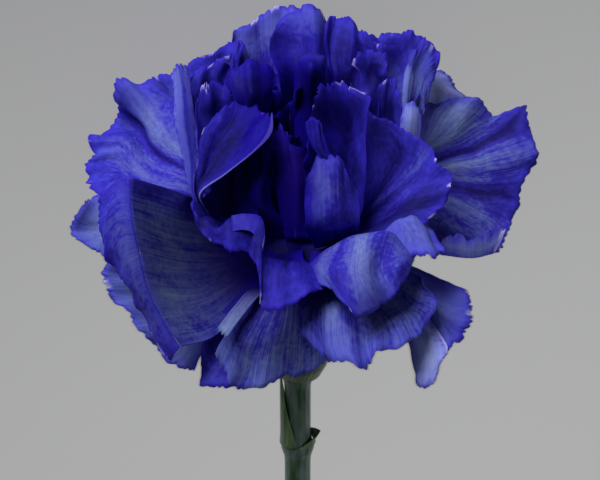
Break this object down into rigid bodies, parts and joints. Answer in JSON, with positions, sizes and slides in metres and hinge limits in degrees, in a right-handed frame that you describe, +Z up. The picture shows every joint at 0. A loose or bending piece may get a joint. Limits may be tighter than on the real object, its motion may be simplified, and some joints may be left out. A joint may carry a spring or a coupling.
{
  "type": "dianthus flower",
  "caption": "Cut double dianthus flower lying on its side: a round bloom of frilled, layered petals in a toothed green calyx with foot scales, on a jointed stem.",
  "frame": {"origin": "middle of the flower's footprint, on the surface it lies on", "axes": "+Y along the flower from the cut end of the stem to the bloom, +Z up, +X to the right as the bloom is seen from above"},
  "size_m": [0.0754, 0.1544, 0.0517],
  "materials": {
    "petal": "matte",
    "calyx": "satin",
    "stem": "satin"
  },
  "bodies": {
    "root": {"bloom": "petal", "calyx": "calyx", "calyx_scales": "calyx", "stem": "stem", "stem_scales": "stem"}
  },
  "joints": []
}
